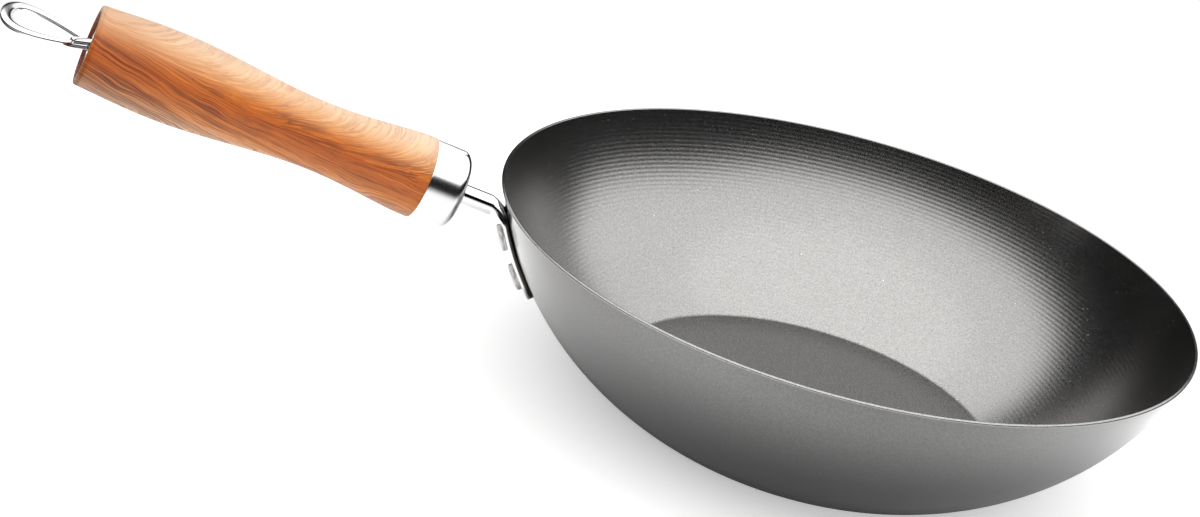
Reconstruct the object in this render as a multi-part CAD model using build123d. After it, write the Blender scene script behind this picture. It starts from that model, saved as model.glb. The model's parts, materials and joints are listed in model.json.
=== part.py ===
from build123d import *
import math
import os

# Flat-bottomed wok spun from carbon steel sheet, with a turned wooden grip on a forged bracket.
# Millimetres, +Z up. The origin is on the bowl's axis at the underside of its flat base.
# The handle points towards -X and rises away from the bowl.

# Bowl: a flat base and one arc of wall up to a plain cut rim
rim_radius = 150.0
bowl_height = 78.6
base_radius = 85.2
wall_arc_radius = 131.0
sheet = 1.5
base_bend = 2.4
rim_round = 0.5

# Handle axis: where it crosses the rim's radius, and how steeply it rises
axis_height = 72.5
axis_rise = 13.85

# Bracket: round stem, bent and flattened into a paddle that lies on the wall
stem_diameter = 8.4
neck_run = 9.0
paddle_width = 18.0
paddle_thickness = 2.8
paddle_top = 69.5
paddle_bottom = 35.5
paddle_edge = 0.7
tang_diameter = 7.4
tang_length = 24.0
tang_socket_depth = 15.0

# Rivets, one above the other, driven through the paddle and the wall
rivet_heights = (61.6, 45.4)
rivet_shank_diameter = 5.0
rivet_head_diameter = 11.5
rivet_head_height = 2.6
rivet_head_crown = 0.5
rivet_head_edge = 0.8
rivet_inner_diameter = 10.0
rivet_inner_height = 1.3
rivet_inner_edge = 0.5

# Ferrule: a drawn steel cup over the front of the grip
ferrule_reach = 19.8
ferrule_diameter = 33.4
ferrule_length = 15.9
ferrule_sheet = 0.8
ferrule_round = 3.6

# Washer that the stem's shoulder bears on, between the ferrule's floor and the wood
washer_diameter = 22.0
washer_thickness = 1.5

# Grip: turned wood, swollen towards the butt and waisted in front of it
grip_length = 140.8
grip_front_diameter = 34.2
grip_waist_diameter = 28.1
grip_throat_diameter = 28.7
grip_shoulder_diameter = 33.6
grip_swell_diameter = 35.8
grip_butt_diameter = 32.6
waist_share = 0.27
throat_share = 0.42
shoulder_share = 0.61
swell_share = 0.81
grip_edge = 0.9

# Tie rod through the grip, screwed into the tang and into the bush
rod_diameter = 5.0

# End cap: a plated disc with a boss behind it that holds the swivel
cap_diameter = 27.0
cap_thickness = 1.2
cap_crown = 0.5
cap_inset = 0.8
cap_edge = 0.4
boss_diameter = 15.0
boss_length = 15.5
throat_depth = 2.6
bush_diameter = 11.6
bush_length = 6.0

# Swivel collar, which turns in the boss and grips the ends of the loop
collar_diameter = 7.6
collar_bore = 6.2
collar_flange_diameter = 10.4
collar_flange_thickness = 2.0
mouth_depth = 1.8

# Hanging loop: round wire at the neck, flattened where it turns back
loop_reach = 34.7
leg_pull_length = 18.0
tip_pull_length = 15.5
loop_roll = 8.0
wire_diameter = 2.8
wire_tip_width = 5.2
wire_tip_thickness = 2.6
leg_spacing = 2.5
leg_angle = 28.0
wire_sections = 5
tail_length = 9.0
tail_diameter = 2.6
tail_angle = 18.0
tail_lift = 1.7
tail_edge = 0.3

# Clearances: sliding fits inside the handle, the turning fit, and the play of the flange
slip_fit = 0.1
turning_fit = 0.05
flange_play = 0.35
inner_head_play = 0.12
overrun = 5.0


def arc_center():
    """Centre of the wall's outer arc, in radius and height."""
    run = rim_radius - base_radius
    chord = math.hypot(run, bowl_height)
    rise = math.sqrt(wall_arc_radius ** 2 - (chord / 2) ** 2)
    return (base_radius + run / 2 - rise * bowl_height / chord, bowl_height / 2 + rise * run / chord)


def wall_radius(height, outside=0):
    """Radius of the surface that lies the given distance outside the wall's outer face."""
    center_r, center_z = arc_center()
    reach = wall_arc_radius + outside
    return center_r + math.sqrt(reach ** 2 - (height - center_z) ** 2)


def wall_normal(height):
    """Outward unit normal of the wall on the handle's side, in the handle's upright plane."""
    center_r, center_z = arc_center()
    return Vector(center_r - wall_radius(height), 0, height - center_z).normalized()


def wall_face(low, high, inside, outside):
    """Slice between two surfaces parallel to the wall, from one height to another."""
    middle = (low + high) / 2
    inner = [(wall_radius(z, inside), z) for z in (low, middle, high)]
    outer = [(wall_radius(z, outside), z) for z in (low, middle, high)]
    with BuildSketch(Plane.XZ) as section:
        with BuildLine():
            ThreePointArc(*inner)
            Line(inner[2], outer[2])
            ThreePointArc(*outer)
            Line(outer[0], inner[0])
        make_face()
    return section.sketch


def bowl_solid(filled=False):
    """The spun bowl, or the same outer form filled to the rim for trimming what lies on it."""
    center_r, center_z = arc_center()
    inner_reach = wall_arc_radius - sheet
    lean = math.atan2(bowl_height - center_z, rim_radius - center_r)
    rim_inner = (center_r + inner_reach * math.cos(lean), center_z + inner_reach * math.sin(lean))
    base_inner = (center_r + math.sqrt(inner_reach ** 2 - (sheet - center_z) ** 2), sheet)
    outer_middle = (wall_radius(bowl_height / 2), bowl_height / 2)
    inner_middle = (wall_radius(bowl_height / 2, -sheet), bowl_height / 2)
    with BuildSketch(Plane.XZ) as section:
        with BuildLine():
            Line((0, 0), (base_radius, 0))
            ThreePointArc((base_radius, 0), outer_middle, (rim_radius, bowl_height))
            if filled:
                Line((rim_radius, bowl_height), (0, bowl_height))
                Line((0, bowl_height), (0, 0))
            else:
                Line((rim_radius, bowl_height), rim_inner)
                ThreePointArc(rim_inner, inner_middle, base_inner)
                Line(base_inner, (0, sheet))
                Line((0, sheet), (0, 0))
        make_face()
        if not filled:
            base_corners = section.vertices().filter_by_position(Axis.X, base_radius / 2, base_radius + sheet)
            fillet(base_corners.sort_by(Axis.Y)[0], base_bend + sheet)
            fillet(base_corners.sort_by(Axis.Y)[-1], base_bend)
            fillet(section.vertices().sort_by(Axis.Y)[-2:], rim_round)
    return revolve(section.sketch, Axis.Z)


def handle_plane():
    """Frame of the handle: its X runs outwards along the axis from where it crosses the rim's radius."""
    tilt = math.radians(axis_rise)
    return Plane(
        origin=(-rim_radius, 0, axis_height),
        x_dir=(-math.cos(tilt), 0, math.sin(tilt)),
        z_dir=(math.sin(tilt), 0, math.cos(tilt)),
    )


def axis_meets_wall(outside):
    """Distance along the handle's axis at which it meets the surface that far outside the wall."""
    center_r, center_z = arc_center()
    axis = handle_plane()
    offset = axis.origin - Vector(-center_r, 0, center_z)
    along = offset.dot(axis.x_dir)
    reach = wall_arc_radius + outside
    return -along + math.sqrt(along ** 2 - offset.dot(offset) + reach ** 2)


def wall_plane(height):
    """Plane that touches the wall on the handle's side, Z outwards and Y up the wall."""
    return Plane(origin=(-wall_radius(height), 0, height), x_dir=(0, -1, 0), z_dir=wall_normal(height))


def on_handle(shape):
    return handle_plane().location * shape


def turned(*points):
    """Solid turned about the handle's axis from an outline of distance and radius."""
    with BuildSketch() as section:
        with BuildLine():
            Polyline(*points, close=True)
        make_face()
    return on_handle(revolve(section.sketch, Axis.X))


def rod(start, end, diameter):
    """Plain round bar or bore on the handle's axis."""
    return turned((start, 0), (end, 0), (end, diameter / 2), (start, diameter / 2))


def wall_band(low, high, inside, outside, width):
    """Piece of a shell that follows the wall, centred on the handle's side."""
    half_turn = math.degrees(math.asin(width / wall_radius(low)))
    band = revolve(wall_face(low, high, inside, outside), Axis.Z, 2 * half_turn)
    middle_turn = math.degrees(math.atan2(band.center().Y, band.center().X))
    return Rot(0, 0, 180 - middle_turn) * band


def rivet_hole(height):
    hole = Cylinder(rivet_shank_diameter / 2 + slip_fit, 4 * paddle_thickness)
    return wall_plane(height).location * hole


def rivet_spot(height):
    """Flat spot that keeps the forging clear of a rivet's head."""
    upright = (Align.CENTER, Align.CENTER, Align.MIN)
    spot = Cylinder(rivet_head_diameter / 2 + slip_fit, 2 * paddle_thickness, align=upright)
    return wall_plane(height).location * Pos(0, 0, paddle_thickness) * spot


def button(diameter, height, crown, edge):
    """Low domed head standing on the XY plane, with a rounded edge."""
    radius = diameter / 2
    dome = (radius ** 2 + crown ** 2) / (2 * crown)
    half_lean = math.asin(radius / dome) / 2
    middle = (dome * math.sin(half_lean), height - dome + dome * math.cos(half_lean))
    with BuildSketch(Plane.XZ) as section:
        with BuildLine():
            Line((0, 0), (radius, 0))
            Line((radius, 0), (radius, height - crown))
            ThreePointArc((radius, height - crown), middle, (0, height))
            Line((0, height), (0, 0))
        make_face()
        fillet(section.vertices().sort_by(Axis.X)[-2:].sort_by(Axis.Y)[-1], edge)
    return revolve(section.sketch, Axis.Z)


def make_bowl():
    bowl = bowl_solid()
    for height in rivet_heights:
        bowl -= rivet_hole(height)
    return bowl


def neck_spine():
    """Middle line of the bend from the handle's axis down onto the paddle."""
    center_r, center_z = arc_center()
    axis = handle_plane()
    reach = wall_arc_radius + paddle_thickness / 2
    corner_at = axis_meets_wall(paddle_thickness / 2)
    start = axis.origin + axis.x_dir * (corner_at + neck_run)
    corner = axis.origin + axis.x_dir * corner_at
    turn = math.atan2(corner.Z - center_z, -corner.X - center_r) - neck_run / reach
    end = Vector(-center_r - reach * math.cos(turn), 0, center_z + reach * math.sin(turn))
    return Bezier(start, corner, end)


def make_neck():
    """The forged bend: round at the stem, then wider and thinner until it runs into the paddle."""
    spine = neck_spine()
    shares = (0, 0.35, 0.7, 1)
    sections = []
    for share in shares:
        width = stem_diameter + (paddle_width - paddle_thickness - stem_diameter) * share
        thickness = stem_diameter + (paddle_thickness - stem_diameter) * share
        plane = Plane(origin=spine @ share, x_dir=(0, 1, 0), z_dir=spine % share)
        sections.append(plane.location * Ellipse(width / 2, thickness / 2))
    return loft(sections)


def make_paddle():
    """The flattened end, as thick as the band and as wide as the hull of two round ends."""
    band = wall_band(paddle_bottom - overrun, paddle_top + overrun, 0, paddle_thickness, paddle_width)
    low = paddle_bottom + paddle_width / 2
    face = wall_plane((low + paddle_top) / 2)
    span = (paddle_top - low) / wall_normal(low).cross(Vector(0, -1, 0)).Z
    top_radius = stem_diameter / 2 + paddle_thickness
    with BuildSketch() as outline:
        with BuildLine():
            CenterArc((0, -span / 2), paddle_width / 2, 0, 360)
            CenterArc((0, span / 2 - top_radius), top_radius, 0, 360)
        make_hull()
    paddle = band & extrude(face.location * outline.sketch, 2 * overrun, both=True)
    return fillet(paddle.edges().filter_by(lies_on_front), paddle_edge)


def lies_on_front(edge):
    """Whether an edge of the paddle is on the side away from the bowl."""
    return edge.center().X < -wall_radius(edge.center().Z, paddle_thickness / 2)


def make_bracket():
    shoulder = ferrule_reach + ferrule_sheet
    bend_start = axis_meets_wall(paddle_thickness / 2) + neck_run
    tang_end = shoulder + tang_length
    bracket = make_neck() + make_paddle()
    bracket -= bowl_solid(filled=True)
    bracket += rod(bend_start, shoulder, stem_diameter)
    bracket += rod(shoulder, tang_end, tang_diameter)
    bracket -= rod(tang_end - tang_socket_depth, tang_end, rod_diameter)
    for height in rivet_heights:
        bracket -= rivet_hole(height) + rivet_spot(height)
    return bracket


def make_rivet(height):
    """Set rivet: a pan head on the paddle, a flatter one inside the bowl, and the shank between."""
    upright = (Align.CENTER, Align.CENTER, Align.MIN)
    inner_seat = -sheet - inner_head_play
    outer = button(rivet_head_diameter, rivet_head_height, rivet_head_crown, rivet_head_edge)
    inner = button(rivet_inner_diameter, rivet_inner_height, rivet_head_crown, rivet_inner_edge)
    grip_start = inner_seat - rivet_inner_edge
    grip_end = paddle_thickness + rivet_head_edge
    shank = Cylinder(rivet_shank_diameter / 2, grip_end - grip_start, align=upright)
    rivet = Pos(0, 0, grip_start) * shank + Pos(0, 0, paddle_thickness) * outer
    rivet += Pos(0, 0, inner_seat) * Rot(180, 0, 0) * inner
    return wall_plane(height).location * rivet


def make_ferrule():
    back = ferrule_reach + ferrule_length
    radius = ferrule_diameter / 2
    outside = rod(ferrule_reach, back, ferrule_diameter)
    outside = fillet(front_rim(outside, radius), ferrule_round)
    inside = rod(ferrule_reach + ferrule_sheet, back + overrun, ferrule_diameter - 2 * ferrule_sheet)
    inside = fillet(front_rim(inside, radius - ferrule_sheet), ferrule_round - ferrule_sheet)
    return outside - inside - rod(0, back, stem_diameter + 2 * slip_fit)


def front_rim(solid, radius):
    """The round edge of a turned solid that lies nearest to the bowl."""
    rims = solid.edges().filter_by(GeomType.CIRCLE).filter_by(lambda edge: abs(edge.radius - radius) < slip_fit)
    return rims.sort_by(Axis.X)[-1]


def butt_at():
    """Distance of the grip's butt along the handle's axis."""
    return ferrule_reach + ferrule_length + grip_length


def make_washer():
    start = ferrule_reach + ferrule_sheet
    washer = rod(start, start + washer_thickness, washer_diameter)
    return washer - rod(0, start + overrun, tang_diameter + 2 * slip_fit)


def make_grip():
    """Turned wood: the swollen body, a spigot for the ferrule, and the bores for what runs inside."""
    front = ferrule_reach + ferrule_length
    butt = butt_at()
    spigot_face = ferrule_reach + ferrule_sheet
    stations = (
        (0, grip_front_diameter),
        (waist_share, grip_waist_diameter),
        (throat_share, grip_throat_diameter),
        (shoulder_share, grip_shoulder_diameter),
        (swell_share, grip_swell_diameter),
        (1, grip_butt_diameter),
    )
    with BuildSketch() as section:
        with BuildLine():
            Spline(*[(front + grip_length * share, diameter / 2) for share, diameter in stations])
            Polyline((butt, grip_butt_diameter / 2), (butt, 0), (front, 0), (front, grip_front_diameter / 2))
        make_face()
        fillet(section.vertices().sort_by(Axis.Y)[-2:].sort_by(Axis.X)[-1], grip_edge)
    body = on_handle(revolve(section.sketch, Axis.X))
    spigot_diameter = ferrule_diameter - 2 * ferrule_sheet - 2 * slip_fit
    spigot = rod(spigot_face, front, spigot_diameter)
    spigot = fillet(front_rim(spigot, spigot_diameter / 2), ferrule_round)
    grip = body + spigot
    grip -= rod(0, spigot_face + washer_thickness, washer_diameter + 2 * slip_fit)
    grip -= rod(0, spigot_face + tang_length + slip_fit, tang_diameter + 2 * slip_fit)
    grip -= rod(0, butt, rod_diameter + 2 * flange_play)
    grip -= rod(butt - cap_inset - cap_thickness, butt + overrun, cap_diameter + 2 * slip_fit)
    grip -= rod(butt - cap_inset - boss_length - slip_fit, butt, boss_diameter + 2 * slip_fit)
    return grip


def make_tie_rod():
    tang_end = ferrule_reach + ferrule_sheet + tang_length
    return rod(tang_end - tang_socket_depth + slip_fit, bush_span()[1], rod_diameter)


def cap_face_at():
    return butt_at() - cap_inset


def bush_span():
    """Start and end of the bush in the back of the cap's boss."""
    start = cap_face_at() - boss_length
    return (start, start + bush_length)


def make_bush():
    bush = rod(*bush_span(), bush_diameter)
    return bush - rod(*bush_span(), rod_diameter)


def make_end_cap():
    """Domed disc with a boss behind it; its bore is stepped for the collar, its flange and the bush."""
    face = cap_face_at()
    disc = button(cap_diameter, cap_thickness, cap_crown, cap_edge)
    facing = handle_plane().location * Pos(face - cap_thickness, 0, 0) * Rot(0, 90, 0)
    cap = facing * disc + rod(face - boss_length, face - cap_thickness, boss_diameter)
    cap -= rod(0, face - throat_depth, bush_diameter)
    return cap - rod(0, face + overrun, collar_diameter + 2 * turning_fit)


def collar_back():
    """Inner end of the swivel collar."""
    return cap_face_at() - throat_depth - turning_fit - collar_flange_thickness


def make_collar():
    back = collar_back()
    flange = rod(back, back + collar_flange_thickness, collar_flange_diameter)
    sleeve = rod(back, cap_face_at() - cap_crown, collar_diameter)
    return flange + sleeve - rod(back, cap_face_at(), collar_bore)


def loop_place():
    """Place of the loop: X along the handle's axis from the cap's face, Z square to the loop."""
    return handle_plane().location * Pos(cap_face_at(), 0, 0) * Rot(-loop_roll, 0, 0)


def loop_side(side):
    """Middle line of one side of the loop, from its neck out to the tip."""
    reach = loop_reach + cap_inset - wire_tip_width / 2
    lean = math.radians(leg_angle)
    neck = Vector(0, side * leg_spacing / 2, 0)
    tip = Vector(reach, 0, 0)
    first = neck + Vector(math.cos(lean), side * math.sin(lean), 0) * leg_pull_length
    last = tip + Vector(0, side * tip_pull_length, 0)
    return Bezier(neck, first, last, tip)


def wire_section(side, share):
    """Section of the wire at a share of one side: round at the neck, wide and thin at the tip."""
    line = loop_side(side)
    flatness = math.sin(math.pi / 2 * share) ** 2
    width = wire_diameter + (wire_tip_width - wire_diameter) * flatness
    thickness = wire_diameter + (wire_tip_thickness - wire_diameter) * flatness
    plane = Plane(origin=line @ share, x_dir=(0, 0, 1), z_dir=(line % share) * side)
    return plane.location * Ellipse(thickness / 2, width / 2)


def bar(start, end, diameter):
    """Plain round bar between two points."""
    run = Vector(*end) - Vector(*start)
    section = Plane(origin=start, z_dir=run).location * Circle(diameter / 2)
    return extrude(section, run.length)


def make_loop():
    """One length of wire: two legs joined in the collar, flattened round the tip, its end lapped on top."""
    outward = [wire_section(1, step / wire_sections) for step in range(wire_sections + 1)]
    inward = [wire_section(-1, step / wire_sections) for step in range(wire_sections)]
    loop = loft(outward + inward[::-1])
    for side in (1, -1):
        loop += bar((-mouth_depth, side * leg_spacing / 2, 0), (0, side * leg_spacing / 2, 0), wire_diameter)
    lean = math.radians(tail_angle)
    tail_start = Vector(-mouth_depth, 0, tail_lift)
    tail_end = tail_start + Vector(math.cos(lean), math.sin(lean), 0) * (tail_length + mouth_depth)
    tail = bar(tail_start, tail_end, tail_diameter)
    loop += fillet(tail.edges().filter_by(GeomType.CIRCLE).sort_by(Axis.X)[-1], tail_edge)
    return loop_place() * loop + rod(collar_back(), cap_face_at() - mouth_depth, collar_bore)


def write_parts():
    os.makedirs("parts", exist_ok=True)
    parts = {
        "bowl": make_bowl(),
        "handle_bracket": make_bracket(),
        "bracket_rivets": Compound(children=[make_rivet(height) for height in rivet_heights]),
        "ferrule": make_ferrule(),
        "stem_washer": make_washer(),
        "grip": make_grip(),
        "tie_rod": make_tie_rod(),
        "rod_bush": make_bush(),
        "end_cap": make_end_cap(),
        "swivel_collar": make_collar(),
        "hanging_loop": make_loop(),
    }
    for name, shape in parts.items():
        export_step(shape, f"parts/{name}.step")


write_parts()
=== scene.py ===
import bmesh, bpy, json, math
import numpy as np
from mathutils import Matrix, Vector


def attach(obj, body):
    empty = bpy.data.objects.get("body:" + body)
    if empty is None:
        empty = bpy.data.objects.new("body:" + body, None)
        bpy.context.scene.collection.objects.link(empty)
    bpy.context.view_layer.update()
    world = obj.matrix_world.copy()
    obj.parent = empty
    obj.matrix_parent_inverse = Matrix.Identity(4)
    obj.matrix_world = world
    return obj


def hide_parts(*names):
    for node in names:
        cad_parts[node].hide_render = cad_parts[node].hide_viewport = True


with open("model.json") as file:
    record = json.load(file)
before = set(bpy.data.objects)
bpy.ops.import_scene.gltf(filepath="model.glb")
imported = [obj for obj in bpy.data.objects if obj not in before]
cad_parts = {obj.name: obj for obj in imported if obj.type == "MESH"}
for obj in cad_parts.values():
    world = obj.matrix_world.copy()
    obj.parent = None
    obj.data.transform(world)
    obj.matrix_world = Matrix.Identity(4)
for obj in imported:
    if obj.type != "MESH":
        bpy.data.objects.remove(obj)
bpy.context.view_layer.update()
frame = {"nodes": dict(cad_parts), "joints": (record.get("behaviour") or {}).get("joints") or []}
print("wok: frame loaded")

view = {"target": (-0.09807, 0.02495, 0.04622), "distance": 0.9424, "azimuth": -14.27, "elevation": 22.71,
        "roll": 13.88, "lens": 66.0, "sensor": 36.0, "clipStart": 0.01}   # degrees, azimuth 0 looks along +Y


def placeCamera(v):
    turn, lift = math.radians(v["azimuth"]), math.radians(v["elevation"])
    ahead = Vector((-math.sin(turn) * math.cos(lift), math.cos(turn) * math.cos(lift), -math.sin(lift)))
    lens = bpy.data.cameras.new("photoCamera")
    lens.lens, lens.sensor_width, lens.clip_start = v["lens"], v["sensor"], v["clipStart"]
    stand = ahead.to_track_quat("-Z", "Y").to_matrix().to_4x4() @ Matrix.Rotation(math.radians(v["roll"]), 4, "Z")
    stand.translation = Vector(v["target"]) - ahead * v["distance"]
    tripod = bpy.data.objects.new("photoCamera", lens)
    tripod.matrix_world = stand
    bpy.context.collection.objects.link(tripod)
    bpy.context.scene.camera = tripod


placeCamera(view)
bpy.context.scene.view_settings.view_transform = "Standard"


class Sum:   # a number from a node, so that formulas can be written as they are
    def __init__(self, tree, socket):
        self.tree, self.socket = tree, socket

    def join(self, operation, first, second=None):
        node = self.tree.nodes.new("ShaderNodeMath")
        node.operation = operation
        for slot, value in zip(node.inputs, (first, second)):
            if isinstance(value, Sum):
                self.tree.links.new(value.socket, slot)
            elif value is not None:
                slot.default_value = value
        return Sum(self.tree, node.outputs[0])

    def __add__(self, other): return self.join("ADD", self, other)
    def __radd__(self, other): return self.join("ADD", other, self)
    def __sub__(self, other): return self.join("SUBTRACT", self, other)
    def __rsub__(self, other): return self.join("SUBTRACT", other, self)
    def __mul__(self, other): return self.join("MULTIPLY", self, other)
    def __rmul__(self, other): return self.join("MULTIPLY", other, self)
    def __truediv__(self, other): return self.join("DIVIDE", self, other)
    def __rtruediv__(self, other): return self.join("DIVIDE", other, self)
    def __pow__(self, other): return self.join("POWER", self, other)
    def __rpow__(self, other): return self.join("POWER", other, self)
    def __mod__(self, other): return self.join("FLOORED_MODULO", self, other)
    def __rmod__(self, other): return self.join("FLOORED_MODULO", other, self)


class Nodes:   # writes the nodes of one tree, shader or geometry
    def __init__(self, tree):
        self.tree = tree

    def add(self, kind, settings=None, values=None, out=0):
        node = self.tree.nodes.new(kind)
        for name, value in (settings or {}).items():
            if name == "stops":
                ramp = node.color_ramp
                while len(ramp.elements) < len(value):
                    ramp.elements.new(1.0)   # then each stop is put in its place
                for stop, (spot, colour) in zip(ramp.elements, value):
                    stop.position, stop.color = spot, (*colour, 1.0)
            else:
                setattr(node, name, value)
        for name, value in (values or {}).items():
            if isinstance(value, Sum):
                self.tree.links.new(value.socket, node.inputs[name])
            else:
                node.inputs[name].default_value = value
        return Sum(self.tree, node.outputs[out])

    def math(self, operation, first, second=None):
        return Sum(self.tree, None).join(operation, first, second)

    def combine(self, x=0.0, y=0.0, z=0.0):
        return self.add("ShaderNodeCombineXYZ", None, {0: x, 1: y, 2: z})

    def split(self, vector):
        node = self.add("ShaderNodeSeparateXYZ", None, {0: vector}).socket.node
        return [Sum(self.tree, socket) for socket in node.outputs]

    def soft(self, value, low, high):   # 0 below low, 1 above high, smooth between
        return self.add("ShaderNodeMapRange", {"interpolation_type": "SMOOTHSTEP"}, {0: value, 1: low, 2: high})

    def noise(self, vector, scale=1.0, detail=2.0, rough=0.5):   # about 0.5 on average
        return self.add("ShaderNodeTexNoise", None,
                        {"Vector": vector, "Scale": scale, "Detail": detail, "Roughness": rough})

    def mix(self, factor, first, second, blend="MIX"):
        return self.add("ShaderNodeMix", {"data_type": "RGBA", "blend_type": blend},
                        {0: factor, 6: first, 7: second}, 2)   # the colour sockets

    def here(self):   # the point on the part, in metres
        return self.add("ShaderNodeTexCoord", None, None, "Object")

    def bump(self, height, distance):
        return self.add("ShaderNodeBump", None, {"Height": height, "Distance": distance})


def newFinish(name):
    material = bpy.data.materials.new(name)
    material.use_nodes = True
    shader = material.node_tree.nodes["Principled BSDF"]

    def wire(**values):
        for label, value in values.items():
            slot = shader.inputs[label.replace("_", " ")]
            if isinstance(value, Sum):
                material.node_tree.links.new(value.socket, slot)
            else:
                slot.default_value = value
    return material, Nodes(material.node_tree), wire


def solid(colour, share=1.0):   # a colour for a socket, darker with a share below 1
    return (*(c * share for c in colour), 1)


# the handle's line comes from the loop's hinge, and distances along it start at the rim's radius
hinge = frame["joints"][0]
capFace = 0.1757
handleWay = Vector(hinge["axis"]).normalized()
handleUp = Vector((0, 1, 0)).cross(handleWay).normalized()
handleStart = Vector(hinge["pos_m"]) - handleWay * capFace


def placeFrom(x, y, z, origin):   # the matrix that carries a local shape to its place
    matrix = Matrix.Identity(4)
    for column, way in enumerate((x, y, z)):
        for row in range(3):
            matrix[row][column] = way[row]
    matrix.translation = origin
    return matrix


handlePlace = placeFrom(handleWay, handleUp.cross(handleWay), handleUp, handleStart)   # X runs along the handle
lathePlace = placeFrom(handleUp, handleWay.cross(handleUp), handleWay, handleStart)    # Z runs along the handle
print("wok: handle way", [round(v, 4) for v in handleWay], "up", [round(v, 4) for v in handleUp])


def newTree(name, inputs):
    tree = bpy.data.node_groups.new(name, "GeometryNodeTree")
    for label, kind in inputs:
        tree.interface.new_socket(label, in_out="INPUT", socket_type="NodeSocket" + kind)
    tree.interface.new_socket("Shape", in_out="OUTPUT", socket_type="NodeSocketGeometry")
    given = tree.nodes.new("NodeGroupInput")
    result = tree.nodes.new("NodeGroupOutput")
    values = {socket.name: Sum(tree, socket) for socket in given.outputs if socket.name}
    return tree, Nodes(tree), values, result.inputs[0]


def turnTree():   # turns an outline of radius and height about Z into a closed solid
    tree, n, given, result = newTree("turnOutline", [("Outline", "Geometry"), ("Segments", "Int"),
                                                     ("Join distance", "Float"), ("Finish", "Material")])
    count = n.add("GeometryNodeAttributeDomainSize", {"component": "MESH"}, {0: given["Outline"]})
    grid = n.add("GeometryNodeMeshGrid", None, {"Vertices X": given["Segments"] + 1, "Vertices Y": count})
    index = n.add("GeometryNodeInputIndex")
    spot = n.add("GeometryNodeSampleIndex", {"data_type": "FLOAT_VECTOR"},
                 {"Geometry": given["Outline"], "Value": n.add("GeometryNodeInputPosition"),
                  "Index": index % count})
    radius, _, height = n.split(spot)
    turn = n.math("FLOOR", (index + 0.5) / count) / given["Segments"] * (2 * math.pi)
    around = n.combine(radius * n.math("COSINE", turn), radius * n.math("SINE", turn), height)
    turned = n.add("GeometryNodeSetPosition", None, {"Geometry": grid, "Position": around})
    closed = n.add("GeometryNodeMergeByDistance", None, {"Geometry": turned, "Distance": given["Join distance"]})
    smooth = n.add("GeometryNodeSetShadeSmooth", None, {"Geometry": closed})
    real = n.add("GeometryNodeRealizeInstances", None, {0: smooth})
    dressed = n.add("GeometryNodeSetMaterial", None, {"Geometry": real, "Material": given["Finish"]})
    tree.links.new(dressed.socket, result)
    return tree


def applyTree(name, mesh, tree, values, place=None):   # runs a tree on a mesh and keeps a plain piece
    host = bpy.data.objects.new(name, mesh)
    bpy.context.collection.objects.link(host)
    modifier = host.modifiers.new(name, "NODES")
    modifier.node_group = tree
    for item in tree.interface.items_tree:
        if item.in_out == "INPUT" and item.name in values:
            modifier[item.identifier] = values[item.name]
    bpy.context.view_layer.update()
    ready = host.evaluated_get(bpy.context.evaluated_depsgraph_get())
    made = bpy.data.meshes.new_from_object(ready)
    host.modifiers.clear()
    host.data = made
    made.name = name
    if place is not None:
        made.transform(place)
    return host


def outlineMesh(name, points):   # radius and height of each point in turn, out along the bottom and up the outside
    mesh = bpy.data.meshes.new(name)
    mesh.from_pydata([(radius, 0.0, height) for radius, height in points],
                     [(i, i + 1) for i in range(len(points) - 1)], [])
    return mesh


def arc(centre, radius, start, end, steps):   # points on an arc, angles in degrees
    angles = np.radians(np.linspace(start, end, steps + 1))
    return [(centre[0] + radius * math.cos(a), centre[1] + radius * math.sin(a)) for a in angles]


def run(start, end, steps):   # points on a straight run, closer together near its ends
    shares = (1 - np.cos(np.linspace(0, math.pi, steps + 1))) / 2
    return [(start[0] + (end[0] - start[0]) * s, start[1] + (end[1] - start[1]) * s) for s in shares]


turning = turnTree()
joinDistance = 1e-6


def turned(name, points, finish, segments, place=None):
    clean = [p for i, p in enumerate(points) if i == 0 or math.dist(p, points[i - 1]) > joinDistance]
    values = {"Segments": segments, "Join distance": joinDistance, "Finish": finish}
    return applyTree(name, outlineMesh(name, clean), turning, values, place)


# the bowl, spun from sheet: a flat base and one arc of wall
bowl = {"rimRadius": 0.150, "height": 0.0786, "baseRadius": 0.0852, "wallArc": 0.131, "sheet": 0.0015,
        "bend": 0.0024, "rimRound": 0.0005, "segments": 216, "floorSteps": 24, "bendSteps": 5, "lowSteps": 26,
        "rimSteps": 4, "grooveStep": 0.002, "grooveDepth": 0.000016, "outsideStep": 0.0012,
        "outsideDepth": 0.000016, "outsideFrom": 0.036, "outsideTo": 0.060, "perGroove": 4, "easeSteps": 4}


def wallCentre(b):
    wide = b["rimRadius"] - b["baseRadius"]
    chord = math.hypot(wide, b["height"])
    rise = math.sqrt(b["wallArc"] ** 2 - (chord / 2) ** 2)
    return (b["baseRadius"] + wide / 2 - rise * b["height"] / chord, b["height"] / 2 + rise * wide / chord)


def groovedArc(b, centre, reach, start, end, step, depth, strength):   # turned rings, real but very shallow
    length = abs(math.radians(end - start)) * reach
    steps = int(length / step * b["perGroove"])
    points = []
    for i, turn in enumerate(np.radians(np.linspace(start, end, steps + 1))):
        height = centre[1] + reach * math.sin(turn)
        ease = min(1.0, (steps - i) / b["easeSteps"], i / b["easeSteps"])
        share = min(max(strength(height), 0.0), 1.0) * ease
        here = reach + depth * share * math.cos(2 * math.pi * i / b["perGroove"])
        points.append((centre[0] + here * math.cos(turn), centre[1] + here * math.sin(turn)))
    return points


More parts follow.
